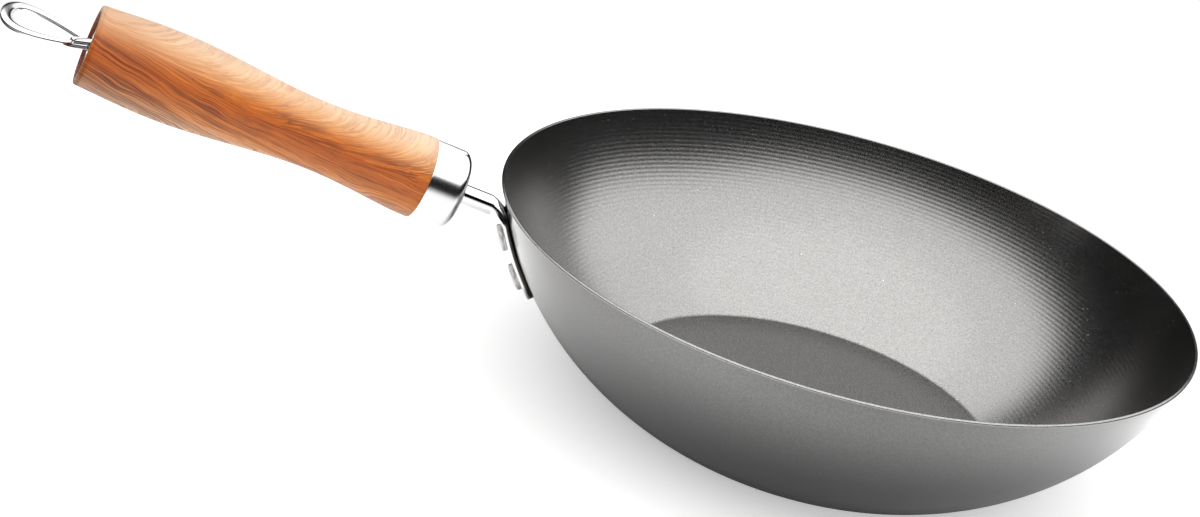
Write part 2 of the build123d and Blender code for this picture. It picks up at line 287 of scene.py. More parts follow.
def bowlOutline(b):
    centre = wallCentre(b)
    angleAt = lambda radius, height: math.degrees(math.atan2(height - centre[1], radius - centre[0]))
    top = angleAt(b["rimRadius"], b["height"])
    outer, inner = b["wallArc"], b["wallArc"] - b["sheet"]
    bendHeight = b["sheet"] + b["bend"]
    bendRadius = centre[0] + math.sqrt((inner - b["bend"]) ** 2 - (centre[1] - bendHeight) ** 2)
    low = angleAt(bendRadius, bendHeight)
    edge = b["rimRound"]
    turnAt = lambda reach: math.degrees(math.asin(edge / (reach - edge)))
    corner = lambda reach, turn: (centre[0] + reach * math.cos(math.radians(turn)),
                                  centre[1] + reach * math.sin(math.radians(turn)))
    outerTop, innerTop = top - turnAt(outer), top - turnAt(inner)
    points = run((0, 0), (bendRadius, 0), b["floorSteps"])
    points += arc((bendRadius, bendHeight), bendHeight, -90, low, b["bendSteps"])
    grooveLow = math.degrees(math.asin((b["outsideFrom"] - centre[1]) / outer))
    points += arc(centre, outer, low, grooveLow, b["lowSteps"])
    points += groovedArc(b, centre, outer, grooveLow, outerTop, b["outsideStep"], b["outsideDepth"],
                         lambda height: (height - b["outsideFrom"]) / (b["outsideTo"] - b["outsideFrom"]))
    points += arc(corner(outer - edge, outerTop), edge, outerTop, outerTop + 90, b["rimSteps"])
    points += arc(corner(inner + edge, innerTop), edge, innerTop + 90, innerTop + 180, b["rimSteps"])
    points += groovedArc(b, centre, inner, innerTop, low, b["grooveStep"], b["grooveDepth"], lambda height: 1.0)
    points += arc((bendRadius, bendHeight), b["bend"], low, -90, b["bendSteps"])
    points += run((bendRadius, b["sheet"]), (0, b["sheet"]), b["floorSteps"])
    return points


spunSteel = {"inside": (0.315, 0.310, 0.303), "outside": (0.15, 0.15, 0.147), "rim": (0.34, 0.34, 0.335),
             "rimBand": 0.0006, "rimFade": 0.0003, "roughness": 0.24, "roughOutside": 0.22, "roughFlecks": 0.14,
             "oilOutside": 1.0, "oilRoughness": 0.08, "paintedBaseShade": 0.63, "baseFade": (0.0001, 0.0006),
             "fleckScale": 1400.0, "fleckShare": 0.55, "flatFlecks": 1.3, "sparkStep": 0.0075,
             "sparkSize": 0.00028, "sparkCore": 0.6, "sparkGaps": 0.35, "paintedGlints": 1.6, "cloudScale": 14.0,
             "clouds": 0.12, "ringStep": 0.0005, "ringSpread": 1.5, "rings": 0.10, "ringRelief": 0.6,
             "fleckRelief": 0.8, "bumpDepth": 0.000014}


def spunFinish(f, b):
    material, n, wire = newFinish("spunDarkSteel")
    centre = wallCentre(b)
    here = n.here()
    x, y, z = n.split(here)
    radius = n.math("SQRT", x * x + y * y)
    outward, upward = radius - centre[0], z - centre[1]
    apart = n.math("SQRT", outward * outward + upward * upward)
    outside = n.math("MAXIMUM", n.math("GREATER_THAN", apart, b["wallArc"] - b["sheet"] / 2),
                     n.math("LESS_THAN", z, b["sheet"] / 2))
    alongWall = n.math("ARCTAN2", upward, outward) * b["wallArc"]
    rimAt = math.atan2(b["height"] - centre[1], b["rimRadius"] - centre[0]) * b["wallArc"]
    # the rim band is bare metal at the cut edge, and where it reaches onto the top of the outside it is a painted
    # highlight that widens the bright rim
    rim = n.soft(alongWall, rimAt - f["rimBand"] - f["rimFade"], rimAt - f["rimBand"])
    flat = 1.0 - n.soft(z, *(b["sheet"] + fade for fade in f["baseFade"]))
    turn = n.math("ARCTAN2", y, x)
    fleck = n.noise(here, f["fleckScale"], rough=0.6)
    dots = n.add("ShaderNodeTexVoronoi", None, {"Vector": here, "Scale": 1 / f["sparkStep"]}).socket.node
    fromDot = Sum(n.tree, dots.outputs["Distance"]) * f["sparkStep"]
    near = 1.0 - n.soft(fromDot, f["sparkSize"] * f["sparkCore"], f["sparkSize"])
    chosen = n.math("GREATER_THAN", n.split(Sum(n.tree, dots.outputs["Color"]))[0], f["sparkGaps"])
    # painted glints: small bright dots added to the colour of the inside
    paintedGlints = near * chosen * (1.0 - outside)
    rings = n.noise(n.combine(alongWall / f["ringStep"], turn * f["ringSpread"]), rough=0.6)
    cloud = n.noise(here, f["cloudScale"], detail=3.0)
    flecks = (fleck - 0.5) * (flat * f["flatFlecks"] + 1.0) * (2 * f["fleckShare"])
    shade = 1.0 + flecks + (cloud - 0.5) * f["clouds"] + (rings - 0.5) * f["rings"]
    # painted shade: the flat base of the bowl is made darker in colour
    shade = shade * (1.0 - flat * (1.0 - f["paintedBaseShade"])) + paintedGlints * f["paintedGlints"]
    steel = n.mix(rim, n.mix(outside, solid(f["inside"]), solid(f["outside"])), solid(f["rim"]))
    relief = (rings * f["ringRelief"] + fleck * f["fleckRelief"]) * f["bumpDepth"]
    rough = f["roughness"] + outside * (f["roughOutside"] - f["roughness"]) + (fleck - 0.5) * f["roughFlecks"]
    wire(Base_Color=n.mix(1.0, steel, n.combine(shade, shade, shade), "MULTIPLY"), Metallic=1.0, Roughness=rough,
         Coat_Weight=outside * (1.0 - rim) * f["oilOutside"], Coat_Roughness=f["oilRoughness"],
         Normal=n.bump(relief, 1.0))
    return material


def makeBowl():
    piece = turned("wokBowl", bowlOutline(bowl), spunFinish(spunSteel, bowl), bowl["segments"])
    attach(piece, "wok")
    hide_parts("bowl")
    print("wok: bowl turned,", len(piece.data.polygons), "faces")


makeBowl()


# bright plate on the bracket, the cap and the loop
plate = {"chrome": (0.88, 0.88, 0.885), "roughness": 0.06, "smudgeScale": 90.0, "smudged": 0.94, "smudgeRough": 0.05}


def plateFinish(f):
    material, n, wire = newFinish("brightPlate")
    smudge = n.noise(n.here(), f["smudgeScale"], detail=3.0, rough=0.6)
    wire(Base_Color=n.mix(smudge, solid(f["chrome"]), solid(f["chrome"], f["smudged"])), Metallic=1.0,
         Roughness=f["roughness"] + smudge * f["smudgeRough"])
    return material


chrome = plateFinish(plate)


def handlePoint(n):   # the point in the handle's own frame, X along it
    local = n.add("ShaderNodeMapping", {"vector_type": "TEXTURE"},
                  {"Vector": n.here(), "Location": handleStart, "Rotation": handlePlace.to_euler()})
    return n.split(local)


# the grip, turned from streaky wood and lacquered
grip = {"front": 0.0357, "length": 0.1408,
        "stations": ((0, 0.0342), (0.27, 0.0281), (0.42, 0.0287), (0.61, 0.0336), (0.81, 0.0358), (1, 0.0326)),
        "frontEdge": 0.0003, "buttEdge": 0.0009, "recessDepth": 0.002, "recessWidth": 0.0272, "recessEdge": 0.0003,
        "bore": 0.0152, "boreDepth": 0.014, "spigot": 0.0316, "spigotLength": 0.014, "spigotCorner": 0.003,
        "sideSteps": 89, "segments": 128}

# its figure: growth layers that curl up to one side and run lengthwise along the middle, tones from below to above,
# paler at the top partly from the wood's own layers and partly as a painted highlight of the lacquer
wood = {"turn": 19.7, "centre": 0.10, "slope": 0.07, "buttRise": 1.6, "riseFrom": 0.115, "wave": 0.007,
        "waveScale": (30.0, 60.0), "middle": -0.0045, "top": 0.017, "leastDepth": 0.0004, "curl": 0.017,
        "curlPower": 1.6, "bow": 6.0, "layers": 260.0, "layersAt": 7.3, "closeLayers": 80.0, "closeAt": 4.1,
        "crowded": (0.005, 0.013), "lowLayers": 560.0, "lowAt": 2.1, "lowDrift": 5.0, "drift": 2.0,
        "layerDetail": 5.0, "layerRough": 0.66, "lowDetail": 4.0, "lowRough": 0.62, "seam": (-0.0005, 0.0035),
        "lineWidth": 0.060, "lines": 0.92, "bands": 0.42, "bandFrom": (-0.48, -0.36),
        "patchScale": (22.0, 40.0, 160.0), "patchFrom": (0.34, 0.62), "leastLine": 0.42, "calmFrom": (0.50, 0.80),
        "calmLines": 0.30, "toneSlope": 0.02, "toneReach": 0.0165,
        "tones": [(0.0, (0.76, 0.42, 0.22)), (0.14, (0.66, 0.22, 0.045)), (0.28, (0.57, 0.140, 0.014)),
                  (0.44, (0.58, 0.125, 0.006)), (0.58, (0.66, 0.185, 0.018)), (0.70, (0.68, 0.315, 0.11)),
                  (0.84, (0.70, 0.455, 0.265)), (1.0, (0.68, 0.50, 0.355))],
        "dark": (0.13, 0.026, 0.008), "soft": (0.47, 0.19, 0.085), "pale": (0.82, 0.52, 0.28), "paleShare": 0.28,
        "paleFrom": (0.54, 0.66), "paleBelow": 0.2, "buttFrom": (0.125, 0.172), "buttShare": 0.55,
        "buttShade": (0.70, 0.55, 0.45), "paintedRecessShade": (0.38, 0.24, 0.24), "insideMargin": 0.0005,
        "poreLength": 0.010, "poreWidth": 0.0009, "poreFrom": (0.51, 0.64), "pores": 0.75, "poreTone": 0.3,
        "calmPoreTone": 0.5, "lowGrain": 4.0, "fibreRough": 0.2, "figureRelief": 0.5, "relief": 0.00003,
        "roughness": 0.5, "lacquer": 0.04, "lacquerRoughness": 0.25}


def gripOutline(g):
    shares, widths = zip(*g["stations"])
    curve = np.polyfit(shares, [w / 2 for w in widths], len(shares) - 1)
    radiusAt = lambda at: float(np.polyval(curve, (at - g["front"]) / g["length"]))
    front, butt, edge, nose = g["front"], g["front"] + g["length"], g["buttEdge"], g["frontEdge"]
    spigot, corner, start = g["spigot"] / 2, g["spigotCorner"], front - g["spigotLength"]
    recess, lip, floor = g["recessWidth"] / 2, g["recessEdge"], butt - g["recessDepth"]
    bore, deep = g["bore"] / 2, floor - g["boreDepth"]
    points = run((0, start), (spigot - corner, start), 4)
    points += arc((spigot - corner, start + corner), corner, -90, 0, 4)
    points += run((spigot, start + corner), (spigot, front), 4)
    points += run((spigot, front), (radiusAt(front) - nose, front), 3)
    points += arc((radiusAt(front) - nose, front + nose), nose, -90, 0, 4)
    points += [(radiusAt(at), at) for at in np.linspace(front + nose, butt - edge, g["sideSteps"] + 1)[1:]]
    points += arc((radiusAt(butt) - edge, butt - edge), edge, 0, 90, 6)
    points += arc((recess + lip, butt - lip), lip, 90, 180, 3)
    points += run((recess, butt - lip), (recess, floor), 3)
    points += run((recess, floor), (bore, floor), 4)
    points += run((bore, floor), (bore, deep), 3)
    return points + run((bore, deep), (0, deep), 2)


def gripFinish(w, g):
    material, n, wire = newFinish("handleWood")
    x, y, z = handlePoint(n)
    turn = math.radians(w["turn"])
    up, toward = z * math.cos(turn) - y * math.sin(turn), y * math.cos(turn) + z * math.sin(turn)
    waveAlong, waveAcross = w["waveScale"]
    wave = n.noise(n.combine(x * waveAlong, y * waveAcross, z * waveAcross)) - 0.5
    nearButt = n.math("MAXIMUM", x - w["riseFrom"], 0.0)
    level = up + wave * w["wave"] - (x - w["centre"]) * w["slope"] - nearButt * nearButt * w["buttRise"]
    depth = n.math("MAXIMUM", level - w["middle"], w["leastDepth"])
    fold = n.math("LOGARITHM", (w["top"] - w["middle"]) / depth, math.e)
    bend = n.math("MAXIMUM", fold, 0.0) ** w["curlPower"]
    curled = x - bend * w["curl"] - toward * toward * w["bow"]   # the same all along one growth layer
    drawn = lambda count, at: n.noise(n.combine(curled * count, wave * w["drift"], at),
                                      detail=w["layerDetail"], rough=w["layerRough"])
    fine, close = drawn(w["layers"], w["layersAt"]), drawn(w["closeLayers"], w["closeAt"])
    layers = close + (fine - close) * n.soft(depth, *w["crowded"])   # where they crowd, fewer are drawn
    low = n.combine(level * w["lowLayers"], x * w["lowDrift"], w["lowAt"])
    straight = n.noise(low, detail=w["lowDetail"], rough=w["lowRough"])
    above = n.soft(level, *(w["middle"] + seam for seam in w["seam"]))
    figure = straight + (layers - straight) * above
    # painted highlight: the tone by height is paler at the top, partly the wood's own colour and partly the
    # lacquer's sheen
    height = up - (x - w["centre"]) * w["toneSlope"]
    share = n.add("ShaderNodeMapRange", None, {0: height, 1: -w["toneReach"], 2: w["toneReach"]})
    tone = n.add("ShaderNodeValToRGB", {"stops": w["tones"]}, {0: share})
    calm = n.soft(share, *w["calmFrom"])
    deep = n.mix(calm, solid(w["dark"]), solid(w["soft"]))
    line = 1.0 - n.soft(n.math("ABSOLUTE", figure - 0.5), 0.0, w["lineWidth"])
    band = n.soft(0.0 - figure, *w["bandFrom"])
    patch = n.noise(n.combine(*(way * scale for way, scale in zip((x, curled, level), w["patchScale"]))))
    patch = n.soft(patch, *w["patchFrom"])
    fade = (w["leastLine"] + patch * (1.0 - w["leastLine"])) * (1.0 - calm * w["calmLines"])
    paleFigureAndSheen = n.soft(figure, *w["paleFrom"]) * (above * (1.0 - w["paleBelow"]) + w["paleBelow"])
    colour = n.mix(paleFigureAndSheen * w["paleShare"], tone, solid(w["pale"]))
    colour = n.mix(n.math("MAXIMUM", line * w["lines"], band * w["bands"]) * fade, colour, deep)
    colour = n.mix(n.soft(x, *w["buttFrom"]) * w["buttShare"], colour, solid(w["buttShade"]), "MULTIPLY")
    # painted shade: the wood inside the butt's recess is made darker
    edge = g["recessWidth"] / 2 + g["recessEdge"]
    floor = g["front"] + g["length"] - g["recessDepth"] - w["insideMargin"]
    inside = n.math("LESS_THAN", n.math("SQRT", y * y + z * z), edge) * n.math("GREATER_THAN", x, floor)
    colour = n.mix(inside, colour, solid(w["paintedRecessShade"]), "MULTIPLY")
    grain = curled * above + level * w["lowGrain"] * (1.0 - above)
    fibre = n.noise(n.combine(grain / w["poreWidth"], x / w["poreLength"], level / w["poreLength"]), rough=0.6)
    pore = n.soft(fibre, *w["poreFrom"]) * w["pores"]
    colour = n.mix(pore, colour, n.mix(calm * w["calmPoreTone"] + w["poreTone"], solid(w["dark"]), tone))
    wire(Base_Color=colour, Roughness=w["roughness"] + (fibre - 0.5) * w["fibreRough"], Coat_Weight=w["lacquer"],
         Coat_Roughness=w["lacquerRoughness"], Normal=n.bump(fibre + figure * w["figureRelief"], w["relief"]))
    return material


def makeGrip():
    piece = turned("turnedGrip", gripOutline(grip), gripFinish(wood, grip), grip["segments"], lathePlace)
    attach(piece, "wok")
    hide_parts("grip")
    print("wok: grip turned")


makeGrip()


# the ferrule, a drawn cup brushed round its side
ferrule = {"front": 0.0198, "width": 0.0334, "length": 0.0159, "sheet": 0.0008, "round": 0.0036, "hole": 0.0086,
           "lip": 0.00015, "segments": 128, "steel": (0.93, 0.93, 0.935), "brushed": 0.86, "roughness": 0.12,
           "brushRough": 0.12, "brushStep": 0.00012, "brushSpread": 2.5, "relief": 0.000006}


def ferruleOutline(f):
    radius, front, back, hole = f["width"] / 2, f["front"], f["front"] + f["length"], f["hole"] / 2
    bend, lip, sheet = f["round"], f["lip"], f["sheet"]
    inner, floor = radius - sheet, front + sheet
    points = run((hole, front), (radius - bend, front), 6)
    points += arc((radius - bend, front + bend), bend, -90, 0, 12)
    points += run((radius, front + bend), (radius, back - lip), 8)
    points += arc((radius - lip, back - lip), lip, 0, 180, 6)
    points += run((inner, back - lip), (inner, floor + bend - sheet), 4)
    points += arc((inner - bend + sheet, floor + bend - sheet), bend - sheet, 0, -90, 8)
    points += run((inner - bend + sheet, floor), (hole, floor), 4)
    return points + [(hole, front)]


def ferruleFinish(f):
    material, n, wire = newFinish("brushedFerrule")
    x, y, z = handlePoint(n)
    turn = n.math("ARCTAN2", z, y)
    brush = n.noise(n.combine(x / f["brushStep"], turn * f["brushSpread"]), detail=3.0, rough=0.7)
    wire(Base_Color=n.mix(brush, solid(f["steel"]), solid(f["steel"], f["brushed"])), Metallic=1.0,
         Roughness=f["roughness"] + brush * f["brushRough"], Normal=n.bump(brush, f["relief"]))
    return material


def makeFerrule():
    piece = turned("drawnFerrule", ferruleOutline(ferrule), ferruleFinish(ferrule), ferrule["segments"], lathePlace)
    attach(piece, "wok")
    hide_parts("ferrule")
    print("wok: ferrule drawn")


makeFerrule()


# the end cap, a domed disc sunk in the butt, with the swivel collar in its middle
endCap = {"face": capFace, "width": 0.027, "thick": 0.0012, "crown": 0.0005, "edge": 0.0004, "edgeTurn": 84,
          "domeSteps": 15, "bore": 0.0077, "lipWidth": 0.0003, "lip": ((0.0001, 0.00003), (0, 0.0002)),
          "lipDepth": 0.0004, "boss": 0.015, "bossLength": 0.012, "segments": 96}
collar = {"outside": 0.0076, "inside": 0.0062, "front": capFace - 0.0005, "back": capFace - 0.006, "edge": 0.0002,
          "segments": 64, "steel": (0.55, 0.55, 0.56), "worn": 0.75, "roughness": 0.32, "grainScale": 700.0,
          "grainRough": 0.12}


def capOutline(c):
    radius, bore, edge = c["width"] / 2, c["bore"] / 2, c["edge"]
    dome = (radius ** 2 + c["crown"] ** 2) / (2 * c["crown"])
    topAt = lambda r: c["face"] - dome + math.sqrt(dome ** 2 - r ** 2)
    back, rim = c["face"] - c["thick"], c["face"] - c["crown"]
    boss, bossEnd = c["boss"] / 2, back - c["bossLength"]
    points = run((bore, bossEnd), (boss, bossEnd), 3)
    points += run((boss, bossEnd), (boss, back), 3)
    points += run((boss, back), (radius, back), 3)
    points += run((radius, back), (radius, rim - edge), 2)
    points += arc((radius - edge, rim - edge), edge, 0, c["edgeTurn"], 5)
    points += [(r, topAt(r)) for r in np.linspace(radius - edge, bore + c["lipWidth"], c["domeSteps"] + 1)[1:]]
    points += [(bore + out, topAt(bore) - down) for out, down in c["lip"]]
    return points + run((bore, topAt(bore) - c["lipDepth"]), (bore, bossEnd), 4)


def collarOutline(c):
    outer, inner, edge = c["outside"] / 2, c["inside"] / 2, c["edge"]
    points = run((inner, c["back"]), (outer, c["back"]), 2)
    points += run((outer, c["back"]), (outer, c["front"] - edge), 4)
    points += arc((outer - edge, c["front"] - edge), edge, 0, 90, 4)
    points += arc((inner + edge, c["front"] - edge), edge, 90, 180, 4)
    return points + run((inner, c["front"] - edge), (inner, c["back"]), 4)


def collarFinish(c):
    material, n, wire = newFinish("plainSteel")
    grain = n.noise(n.here(), c["grainScale"], rough=0.6)
    wire(Base_Color=n.mix(grain, solid(c["steel"]), solid(c["steel"], c["worn"])), Metallic=1.0,
         Roughness=c["roughness"] + grain * c["grainRough"])
    return material


plainSteel = collarFinish(collar)


def makeButt():
    cap = turned("domedEndCap", capOutline(endCap), chrome, endCap["segments"], lathePlace)
    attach(cap, "wok")
    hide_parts("end_cap")
    ring = turned("swivelRing", collarOutline(collar), plainSteel, collar["segments"], lathePlace)
    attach(ring, "loop")
    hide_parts("swivel_collar")
    print("wok: end cap and swivel turned")


makeButt()


def ringMesh(name, rings, finish, place=None, marks=None):   # a closed skin over rings of equally many points
    count = len(rings[0])
    points = [tuple(point) for ring in rings for point in ring]
    faces = [(r * count + i, r * count + (i + 1) % count, (r + 1) * count + (i + 1) % count, (r + 1) * count + i)
             for r in range(len(rings) - 1) for i in range(count)]
    for ring, turnRound in ((0, True), (len(rings) - 1, False)):
        middle = len(points)
        points.append(tuple(np.mean(rings[ring], axis=0)))
        loop = [(ring * count + i, ring * count + (i + 1) % count, middle) for i in range(count)]
        faces += [(b, a, c) if turnRound else (a, b, c) for a, b, c in loop]
    mesh = bpy.data.meshes.new(name)
    mesh.from_pydata(points, [], faces)
    if marks is not None:
        layer = mesh.attributes.new("mark", "FLOAT", "POINT")
        layer.data.foreach_set("value", np.concatenate([*marks, [0.0, 0.0]]).astype(np.float32))
    form = bmesh.new()
    form.from_mesh(mesh)
    bmesh.ops.remove_doubles(form, verts=form.verts, dist=joinDistance)
    bmesh.ops.recalc_face_normals(form, faces=form.faces)
    form.to_mesh(mesh)
    form.free()
    if place is not None:
        mesh.transform(place)
    mesh.shade_smooth()
    mesh.materials.append(finish)
    piece = bpy.data.objects.new(name, mesh)
    bpy.context.collection.objects.link(piece)
    return piece


def sectionPoints(halfWide, halfThick, square, count):   # an ellipse, or with more square a bar with rounded edges
    samples = 1441
    angles = np.linspace(0, 2 * math.pi, samples)
    shape = lambda v: np.sign(v) * np.abs(v) ** (2 / square)
    dense = np.stack([shape(np.cos(angles)) * halfWide, shape(np.sin(angles)) * halfThick], axis=1)
    steps = np.diff(dense, axis=0)
    lengths = np.hypot(*steps.T)
    ways = np.unwrap(np.arctan2(steps[:, 1], steps[:, 0]))
    turns = np.abs(np.diff(ways, append=ways[0] + 2 * math.pi))
    measure = np.concatenate([[0], np.cumsum(lengths / lengths.sum() + turns / (2 * math.pi))])
    spots = np.linspace(0, measure[-1], count, endpoint=False)
    return np.stack([np.interp(spots, measure, dense[:, 0]), np.interp(spots, measure, dense[:, 1])], axis=1)


def bezier(points, share):   # the point and its way on a Bezier line
    points = [np.array(p, dtype=float) for p in points]
    if len(points) == 2:
        way = points[1] - points[0]
        return points[0] + way * share, way / np.linalg.norm(way)
    first, second = bezier(points[:-1], share)[0], bezier(points[1:], share)[0]
    way = second - first
    return first + way * share, way / np.linalg.norm(way)


# the bracket, forged from a round bar that is bent and flattened onto the wall
# the side colour is a painted reflection and shade on the paddle's sides
bracket = {"stem": 0.0084, "stemEnds": (0.0015, 0.0005), "tang": 0.0074, "tangEnd": 0.0446, "tangTip": 0.0062,
           "tangTaper": 0.0006, "shoulder": 0.0206, "shoulderRun": 0.001, "neckRun": 0.0055, "neckPower": 0.8,
           "topWidth": 0.0146, "width": 0.018, "thick": 0.0028, "bottom": 0.0355, "square": 5.0, "squarer": 3,
           "edge": 0.0007, "leastWidth": 1e-5, "around": 72, "stemSteps": 6, "neckSteps": 25, "paddleSteps": 26,
           "side": (0.07, 0.06, 0.052), "paintedDarkBelow": 0.05, "paintedDarkFrom": 0.90, "paintedDarkFade": 0.07, "darkSideRough": 0.2,
           "smudgeScale": 300.0, "smudged": 0.5}


def forgedFinish(b):   # plated, with the paddle's sides next to the wall painted dark: painted reflection and shade
    material, n, wire = newFinish("platedForging")
    mark = n.add("ShaderNodeAttribute", {"attribute_name": "mark"}, None, "Fac")
    smudge = n.noise(n.here(), b["smudgeScale"], detail=3.0, rough=0.6)
    side = n.mix(smudge, solid(b["side"]), solid(b["side"], b["smudged"]))
    wire(Base_Color=n.mix(mark, solid(plate["chrome"]), side), Metallic=1.0,
         Roughness=plate["roughness"] + smudge * plate["smudgeRough"] + mark * b["darkSideRough"])
    return material


def makeBracket(b):
    centre = wallCentre(bowl)
    reach = bowl["wallArc"] + b["thick"] / 2
    middle = np.array([-centre[0], 0.0, centre[1]])   # of the wall's arc on the handle's side
    way, start = np.array(handleWay), np.array(handleStart)
    along = (start - middle) @ way
    cornerAt = -along + math.sqrt(along ** 2 - (start - middle) @ (start - middle) + reach ** 2)
    corner = start + way * cornerAt
    turnAt = lambda point: math.atan2(middle[2] - point[2], middle[0] - point[0])   # down the wall from level
    endTurn = turnAt(corner) + b["neckRun"] / reach
    onArc = lambda turn: middle + reach * np.array([-math.cos(turn), 0.0, -math.sin(turn)])
    nudge = 0.001   # radians, to read the way down the wall
    downWall = lambda turn: (onArc(turn + nudge) - onArc(turn)) / nudge / reach
    spine = [start + way * (cornerAt + b["neckRun"]), corner, onArc(endTurn)]
    side = np.array([0.0, 1.0, 0.0])

    rings, marks = [], []

    def ring(point, ahead, wide, thick, square=2.0, sag=0.0, front=None):
        out = np.cross(ahead, side)
        out *= math.copysign(1.0, out @ (point - middle))
        section = sectionPoints(wide / 2, thick / 2, square, b["around"])
        if front is not None:
            section[:, 1] = np.minimum(section[:, 1], front)
        lift = section[:, 1] - sag * section[:, 0] ** 2 / (2 * abs(point[0]))
        # the mark paints the paddle's sides dark on the half next to the wall: painted reflection and shade
        edge = np.clip((np.abs(section[:, 0]) / (wide / 2) - b["paintedDarkFrom"]) / b["paintedDarkFade"], 0, 1)
        marks.append(edge * min(1.0, (square - 2.0) / 2.0) * (section[:, 1] < b["paintedDarkBelow"] * thick))
        rings.append(point + section[:, :1] * side + lift[:, None] * out)

    back = -way
    for at, wide in ((b["tangEnd"], b["tangTip"]), (b["tangEnd"] - b["tangTaper"], b["tang"]),
                     (b["shoulder"], b["tang"]), (b["shoulder"], b["stem"]),
                     (b["shoulder"] - b["shoulderRun"], b["stem"])):
        ring(start + way * at, back, wide, wide)
    behind, before = b["stemEnds"]
    for at in np.linspace(b["shoulder"] - behind, cornerAt + b["neckRun"] + before, b["stemSteps"]):
        ring(start + way * at, back, b["stem"], b["stem"])
    for share in np.linspace(0, 1, b["neckSteps"]):
        point, ahead = bezier(spine, share)
        ease = share * share * (3 - 2 * share)
        wide = b["stem"] + (b["topWidth"] - b["stem"]) * ease
        thick = b["stem"] + (b["thick"] - b["stem"]) * share ** b["neckPower"]
        ring(point, ahead, wide, thick, 2.0 + (b["square"] - 2.0) * ease, ease)
    lowTurn = math.asin((middle[2] - b["bottom"]) / reach)
    roundTurn = lowTurn - b["width"] / 2 / reach
    for turn in np.linspace(endTurn, roundTurn, b["paddleSteps"])[1:]:
        share = (turn - endTurn) / (roundTurn - endTurn)
        wide = b["topWidth"] + (b["width"] - b["topWidth"]) * share
        ring(onArc(turn), downWall(turn), wide, b["thick"], b["square"] + b["squarer"] * share, 1.0)
    for angle in np.radians(np.linspace(0, 90, b["paddleSteps"])[1:]):
        turn = roundTurn + math.sin(angle) * b["width"] / 2 / reach
        left = b["width"] / 2 * (1 - math.sin(angle))   # to the very end
        drop = b["edge"] - math.sqrt(max(b["edge"] ** 2 - max(b["edge"] - left, 0) ** 2, 0))
        ring(onArc(turn), downWall(turn), max(b["width"] * math.cos(angle), b["leastWidth"]), b["thick"],
             b["square"] + b["squarer"], 1.0, b["thick"] / 2 - drop)
    piece = ringMesh("forgedBracket", rings, forgedFinish(b), None, marks)
    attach(piece, "wok")
    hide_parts("handle_bracket")
    print("wok: bracket forged, corner at", round(cornerAt, 5))


makeBracket(bracket)


# two rivets through the paddle and the wall, set from outside
rivets = {"first": 0.0454, "step": 0.0162, "count": 2, "shank": 0.005, "head": 0.0115, "headHeight": 0.0026,
          "crown": 0.0005, "headEdge": 0.0008, "edgeTurn": 80, "edgeSteps": 6, "domeSteps": 9, "seat": 0.0026,
          "innerHead": 0.010, "innerHeight": 0.0013, "innerEdge": 0.0005, "innerSeat": -0.00152, "segments": 48,
          "steel": (0.86, 0.855, 0.85), "dented": 0.8, "dentScale": 900.0, "roughness": 0.42, "dentRough": 0.15,
          "relief": 0.00002}


def headProfile(r, seat, top, wide, edge):   # out along the seat, round the edge and in over the dome
    radius, crown = wide / 2, r["crown"]
    dome = (radius ** 2 + crown ** 2) / (2 * crown)
    points = [(radius, seat), (radius, top - crown - edge)]
    points += arc((radius - edge, top - crown - edge), edge, 0, r["edgeTurn"], r["edgeSteps"])[1:]
    return points + [(reach, top - dome + math.sqrt(dome ** 2 - reach ** 2))
                     for reach in np.linspace(radius - edge, 0, r["domeSteps"] + 1)[1:]]


def rivetOutline(r):
    bottom = headProfile(r, -r["innerSeat"], -r["innerSeat"] + r["innerHeight"], r["innerHead"], r["innerEdge"])
    points = [(radius, -height) for radius, height in reversed(bottom)]
    points += [(r["shank"] / 2, r["innerSeat"]), (r["shank"] / 2, r["seat"])]
    return points + headProfile(r, r["seat"], bracket["thick"] + r["headHeight"], r["head"], r["headEdge"])


def rivetTree():   # turns one rivet and sets copies of it up the wall, square to its surface
    tree, n, given, result = newTree("setRivets", [
        ("Outline", "Geometry"), ("Segments", "Int"), ("Count", "Int"), ("First height", "Float"),
        ("Step", "Float"), ("Arc radius", "Float"), ("Arc centre", "Vector"), ("Finish", "Material")])
    rivet = n.add("GeometryNodeGroup", {"node_tree": turning},
                  {"Outline": given["Outline"], "Finish": given["Finish"], "Segments": given["Segments"],
                   "Join distance": joinDistance})
    height = given["First height"] + n.add("GeometryNodeInputIndex") * given["Step"]
    middle = n.split(given["Arc centre"])
    drop = middle[2] - height
    spread = n.math("SQRT", given["Arc radius"] * given["Arc radius"] - drop * drop)
    way = n.combine(0.0 - spread, 0.0, 0.0 - drop)
    row = n.add("GeometryNodeMeshLine", None, {"Count": given["Count"]})
    spots = n.combine(middle[0] - spread, 0.0, height)
    placed = n.add("GeometryNodeSetPosition", None, {"Geometry": row, "Position": spots})
    facing = n.add("FunctionNodeAlignRotationToVector", {"axis": "Z"}, {"Vector": way})
    copies = n.add("GeometryNodeInstanceOnPoints", None, {"Points": placed, "Instance": rivet, "Rotation": facing})
    real = n.add("GeometryNodeRealizeInstances", None, {0: copies})
    dressed = n.add("GeometryNodeSetMaterial", None, {"Geometry": real, "Material": given["Finish"]})
    tree.links.new(dressed.socket, result)
    return tree


def rivetFinish(r):
    material, n, wire = newFinish("rivetSteel")
    dents = n.noise(n.here(), r["dentScale"], rough=0.6)
    wire(Base_Color=n.mix(dents, solid(r["steel"]), solid(r["steel"], r["dented"])), Metallic=1.0,
         Roughness=r["roughness"] + dents * r["dentRough"], Normal=n.bump(dents, r["relief"]))
    return material


